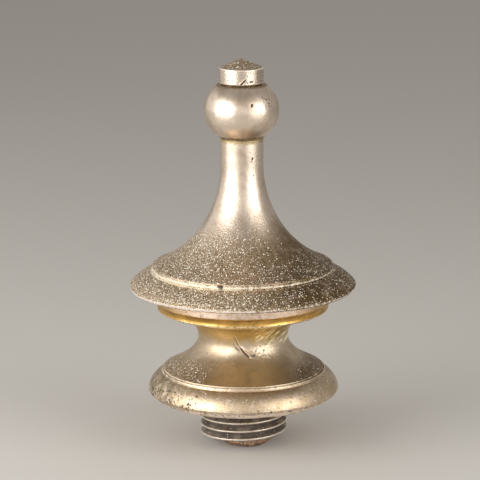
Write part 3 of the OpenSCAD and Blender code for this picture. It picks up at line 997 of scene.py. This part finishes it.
def pan_material():
    n = Nodes("pan_brass")
    cloud = n.noise(5.0, 4.0, 0.6, 0.5)
    colour = n.mix(n.rise(cloud, 0.4, 0.62), PAN_GOLD, PAN_SHADE)
    band_z = CANOPY_Z - FASCIA_H
    height = n.plus(n.z, n.wobble(0.9, n.noise(1.6, 3.0, 0.55)))
    above = n.rise(height, band_z - 0.1, band_z + 0.5)
    band = n.times(above, n.rise(n.math("ABSOLUTE", n.x), 22.0, 8.0))
    colour = n.mix(n.times(above, 0.5), colour, PAN_TAN)
    mottle = n.mix(n.rise(n.noise(1.4, 4.0, 0.7), 0.4, 0.6), LILAC_SHADE, LILAC)
    colour = n.mix(band, colour, mottle)
    # Painted highlight along the arris.
    arris_highlight = n.ring(ARRIS_R, PAN_Z + WALL, 0.42, 0.6, 0.8)
    colour = n.mix(arris_highlight, colour, ARRIS_HIGHLIGHT)
    roughness = n.mix(arris_highlight, n.mix(n.rise(cloud, 0.35, 0.7), 0.34, 0.46), 0.25)
    # Painted shade on the pan's underside, inwards of the arris.
    under = n.rise(n.r, ARRIS_R - 0.6, ARRIS_R - 1.2)
    colour = n.mix(under, colour, UNDERSIDE_SHADE)
    dark = n.rise(n.noise(0.9, 3.0, 0.7), 0.58, 0.72)
    colour = n.mix(n.times(dark, 0.7), colour, PAN_TARNISH)
    soil = n.mark("soil")
    colour = n.mix(soil, colour, DIRT)
    roughness = n.mix(soil, roughness, 0.8)
    return n.finish(colour, roughness, [(n.noise(0.8, 3.0, 0.55), 0.2, 0.1), (dark, -0.4, 0.06)])


STREAK_TILT = 42


def waist_material():
    def side_grit(n):
        # More specks towards -X, where the light falls: painted glints.
        left = n.rise(n.x, -7.0, -14.0)
        right = n.rise(n.x, 10.0, 16.0)
        low = n.rise(n.z, 12.0, 9.0)
        zone = n.times(n.math("MAXIMUM", left, n.times(right, 0.85)), low)
        return zone, n.plus(n.times(left, 0.35), 0.08)

    def gold(n, colour, roughness, metal):
        wobble = n.wobble(5.0, n.noise(4.0, 4.0, 0.6))
        upper = n.rise(n.plus(n.z, wobble), 15.5, 18.5)
        right = n.rise(n.x, -9.0, 3.0)
        amount = n.times(upper, n.plus(n.times(right, 0.3), 0.6))
        colour = n.mix(amount, colour, GILT)
        tilt = math.radians(STREAK_TILT)
        up = n.plus(n.times(n.x, math.cos(tilt)), n.times(n.z, math.sin(tilt)))
        over = n.minus(n.times(n.z, math.cos(tilt)), n.times(n.x, math.sin(tilt)))
        lie = n.add("ShaderNodeCombineXYZ", X=n.times(up, 0.3), Z=n.times(over, 1.9)).outputs[0]
        # Scratch strokes, painted bright as glints: pale, glossy and less metallic.
        strokes = n.rise(n.noise(1.0, 2.0, 0.5, 0.3, place=lie), 0.53, 0.60)
        field = n.times(n.rise(n.x, 0.5, 5.5), n.rise(n.z, 14.6, 16.0))
        streak_glint = n.times(strokes, field)
        colour = n.mix(streak_glint, colour, STREAK_GLINT)
        return colour, n.mix(streak_glint, roughness, 0.22), n.mix(streak_glint, metal, 0.4)

    # Painted highlight along the foot, fading towards +X.
    edge_highlights = [(FOOT_R, SPOOL_Z + FOOT_T, 0.3, 0.15, WAIST_EDGE_HIGHLIGHT)]
    return plated("waist_nickel", WAIST_NICKEL, WAIST_SHADE, 0.36, side_grit, edge_highlights, [], gold)


def flange_material():
    # Painted highlight on the lower band, with real copper show-through, drips, a stain and pits.
    def rubbed(n, colour, roughness, metal):
        wobble = n.wobble(4.0, n.noise(2.2, 4.0, 0.7))
        # Painted highlight: the lower band is pale and glossy.
        low = n.rise(n.plus(n.z, wobble), 2.9, 0.9)
        colour = n.mix(n.times(low, 0.7), colour, LOW_BAND_HIGHLIGHT)
        roughness = n.mix(low, roughness, 0.30)
        copper = n.times(n.rise(n.noise(2.6), 0.52, 0.64), 0.55)
        colour = n.mix(copper, colour, COPPERY)
        drips = n.noise(1.3, 3.0, 0.6, 0.2, stretch=(1.0, 1.0, 0.22))
        colour = n.tinge(colour, DRIP_TAN, 0.5, drips, 0.53, 0.64)
        colour = n.tinge(colour, DRIP_PINK, 0.5, drips, 0.46, 0.36)
        left = n.times(n.rise(n.x, -12.0, -20.0), n.rise(n.noise(1.6, 3.0, 0.7), 0.42, 0.56))
        colour = n.mix(n.times(left, 0.6), colour, LEFT_STAIN)
        holes = n.rise(n.noise(0.75, 4.0, 0.8), 0.60, 0.66)
        zone = n.rise(n.plus(n.z, n.times(wobble, 0.7)), 3.6, 1.6)
        black = n.times(holes, n.math("MAXIMUM", zone, n.times(left, 0.9)))
        colour = n.mix(black, colour, PIT_BLACK)
        # Less metallic low down, so the painted highlight picks up light.
        worn = n.rise(n.z, 1.9, 0.9)
        return colour, n.mix(black, roughness, 0.75), n.mix(worn, metal, 0.2)

    bead_r = FOOT_R + BEAD_W / 2
    # Painted highlight along the bead, fading towards +X.
    edge_highlights = [(bead_r, SPOOL_Z + BEAD_H, 0.5, 0.22, BEAD_HIGHLIGHT)]

    def light_grit(n):
        # More specks towards -X, where the light falls: painted glints.
        return 0.25, n.plus(n.times(n.rise(n.x, -8.0, -20.0), 0.3), 0.12)

    return plated("base_nickel", BASE_NICKEL, BASE_SHADE, 0.33, light_grit, edge_highlights, [], rubbed)


def steel_material():
    n = Nodes("plug_steel")
    cloud = n.noise(3.0)
    colour = n.mix(n.rise(cloud, 0.4, 0.65), STEEL_DARK, STEEL_GREY)
    wobble = n.wobble(0.5, n.noise(0.8, 4.0, 0.7))
    # Painted highlight along the thread's crest.
    crest = n.rise(n.plus(n.r, wobble), THREAD_R - 0.20, THREAD_R - 0.06)
    colour = n.mix(crest, colour, STEEL_CREST_HIGHLIGHT)
    # Painted shade in the thread's roots.
    deep = n.rise(n.r, THREAD_R - 0.8, THREAD_R - 1.15)
    colour = n.mix(n.times(deep, 0.6), colour, STEEL_ROOT_SHADE)
    rust = n.times(n.rise(n.noise(1.4, 4.0, 0.7), 0.52, 0.66), 0.6)
    colour = n.mix(rust, colour, RUST)
    flecks, tone = n.spots(0.7, 0.12, 0.26)
    pick = n.picked(tone, 0)
    flecks = n.times(flecks, n.math("LESS_THAN", pick, 0.3))
    colour = n.mix(flecks, colour, STEEL_FLECK)
    roughness = n.mix(crest, n.mix(deep, 0.46, 0.7), 0.28)
    return n.finish(colour, roughness, [(n.noise(0.35, 3.0, 0.7), 0.4, 0.10)], n.mix(crest, 0.3, 0.7))


def copper_material():
    n = Nodes("rod_copper")
    cloud = n.noise(2.2, 4.0, 0.65, 0.6)
    fine = n.noise(0.45, 4.0, 0.75)
    colour = n.mix(n.rise(cloud, 0.38, 0.62), COPPER, COPPER_SHADE)
    # Painted highlights on the bumps' peaks, and darker in their hollows.
    colour = n.mix(n.rise(fine, 0.56, 0.68), colour, COPPER_PEAK_HIGHLIGHT)
    colour = n.mix(n.rise(fine, 0.42, 0.30), colour, COPPER_HOLLOW_DARK)
    roughness = n.mix(n.rise(fine, 0.4, 0.7), 0.58, 0.34)
    return n.finish(colour, roughness, [(cloud, 0.5, 0.35), (fine, 0.6, 0.18)], 0.8)


def solder_material(name, tone):
    n = Nodes(name)
    cloud = n.noise(0.9)
    colour = n.mix(n.rise(cloud, 0.4, 0.62), tone, tuple(0.45 * c for c in tone))
    colour = n.mix(n.rise(n.noise(0.4, 3.0, 0.7), 0.6, 0.72), colour, tuple(min(1, 2.0 * c) for c in tone))
    roughness = n.mix(n.rise(cloud, 0.4, 0.7), 0.42, 0.62)
    return n.finish(colour, roughness, [(cloud, 0.4, 0.12)])


def inner_brass_material():
    n = Nodes("inner_brass")
    rings = n.noise(1.0, 3.0, 0.6, stretch=(0.4, 0.4, 8.0))
    cloud = n.noise(6.0, 4.0, 0.6)
    colour = n.mix(n.rise(cloud, 0.4, 0.65), BRASS, BRASS_SHADE)
    dark = n.times(n.rise(n.noise(1.2, 4.0, 0.7), 0.58, 0.72), 0.6)
    colour = n.mix(dark, colour, BRASS_DARK)
    roughness = n.mix(n.rise(rings, 0.35, 0.7), 0.30, 0.48)
    return n.finish(colour, roughness, [(rings, 0.15, 0.05)])


# ---------------- stage, light and camera


FLOOR_HALF = 6.0
FLOOR_GAP = 0.00005


def make_floor():
    """A pale floor just under the rod's hammered end, in metres like the lights and the camera."""
    data = bpy.data.meshes.new("floor")
    z = PEEN_Z * MM - FLOOR_GAP
    corners = [(x * FLOOR_HALF, y * FLOOR_HALF, z) for x, y in ((-1, -1), (1, -1), (1, 1), (-1, 1))]
    data.from_pydata(corners, [], [(0, 1, 2, 3)])
    floor = new_object("floor", data)
    material = bpy.data.materials.new("floor_paper")
    material.use_nodes = True
    shader = material.node_tree.nodes["Principled BSDF"]
    shader.inputs["Base Color"].default_value = (0.68, 0.66, 0.63, 1)
    shader.inputs["Roughness"].default_value = 0.9
    data.materials.append(material)


LAMP_TINT = (1.0, 0.985, 0.96)


def softbox(name, azimuth, distance, width, low, high, radiance):
    """A soft rectangular light that stands between two heights. Azimuth 0 is the front, and it grows to +X."""
    a = math.radians(azimuth)
    data = bpy.data.lights.new(name, "AREA")
    data.shape = "RECTANGLE"
    data.size, data.size_y = width, high - low
    data.energy = radiance * math.pi * width * (high - low)
    data.color = LAMP_TINT
    lamp = new_object(name, data)
    lamp.location = (math.sin(a) * distance, -math.cos(a) * distance, (low + high) / 2)
    lamp.rotation_euler = (math.pi / 2, 0, a)
    lamp.visible_camera = False


SKIRT = 0.035
BOX_TOP = 0.30


def make_lights():
    """Two main boxes, each with a faint skirt so that no hard edge shows on the floor, and two fills."""
    for side, azimuth, width, main, faint in (("left", -56, 0.37, 4.2, 1.5), ("right", 52, 0.26, 3.3, 1.2)):
        softbox(side + "_box", azimuth, 0.36, width, SKIRT, BOX_TOP, main)
        softbox(side + "_skirt", azimuth, 0.36, width, 0.0, SKIRT, faint)
    softbox("front_fill", 0, 0.8, 0.8, 0.0, 0.6, 0.52)
    softbox("left_fill", -112, 0.5, 0.5, 0.0, 0.42, 0.5)
    world = bpy.data.worlds.new("studio")
    bpy.context.scene.world = world
    world.use_nodes = True
    back = world.node_tree.nodes["Background"]
    back.inputs[0].default_value = (0.37, 0.35, 0.325, 1)
    back.inputs[1].default_value = 1.0
    bpy.context.scene.view_settings.view_transform = "Standard"


CAMERA_ELEVATION = 12.7
CAMERA_DISTANCE = 0.5977
CAMERA_LENS = 177.5
CAMERA_SENSOR = 36
AIM_HEIGHT = 0.04043
AIM_SIDE = -0.00063
CAMERA_ROLL = 0.4


def make_camera():
    data = bpy.data.cameras.new("camera")
    data.lens = CAMERA_LENS
    data.sensor_width = CAMERA_SENSOR
    data.clip_start = 0.01
    camera = new_object("camera", data)
    e = math.radians(CAMERA_ELEVATION)
    back = Vector((0, -math.cos(e), math.sin(e)))
    camera.location = Vector((AIM_SIDE, 0, AIM_HEIGHT)) + back * CAMERA_DISTANCE
    camera.rotation_mode = "QUATERNION"
    turn = (-back).to_track_quat("-Z", "Y")
    roll = Quaternion((0, 0, 1), math.radians(-CAMERA_ROLL))
    camera.rotation_quaternion = turn @ roll
    bpy.context.scene.camera = camera


# ---------------- assembly


def place(piece, node, body, slot, material):
    """Puts a finished piece in a CAD node's place."""
    piece.data.materials.append(material)
    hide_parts(node)
    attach(piece, body)


make_camera()
make_floor()
make_lights()

steel = steel_material()
inner_brass = inner_brass_material()
place(make_cap(), "tip_cap", "cap", "cap_nickel", cap_material())
# The seal washer is dark for its own colour and for painted shadow in the seam under the cap.
place(make_washer(), "cap_washer", "washer", "solder", solder_material("seal_metal", SEAL_BROWN_AND_SHADOW))
place(make_ball(), "ball", "ornament", "ball_nickel", ball_material())
place(make_solder(), "solder_ring", "ornament", "solder", solder_material("solder", SOLDER_BROWN))
place(make_spire(), "spire", "ornament", "spire_nickel", spire_material())
place(make_canopy(), "canopy", "ornament", "canopy_nickel", canopy_material())
place(make_pan(), "canopy_pan", "ornament", "pan_brass", pan_material())
place(make_waist(), "waist_spool", "ornament", "waist_nickel", waist_material())
place(make_flange(), "base_flange", "ornament", "base_nickel", flange_material())
place(make_plug(), "threaded_plug", "ornament", "plug_steel", steel)
place(make_rod(), "tie_rod", "ornament", "rod_copper", copper_material())

BRASS_NODES = ["ball_bush", "neck_bush", "spire_tube", "foot_plate"]
BRASS_NODES += ["canopy_spacer", "waist_spacer", "base_plate", "burr_washer"]
CARRIED_OVER = [(node, inner_brass) for node in BRASS_NODES] + [("plug_lock_nut", steel)]
for node, material in CARRIED_OVER:
    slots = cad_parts[node].data.materials
    slots.clear()
    slots.append(material)
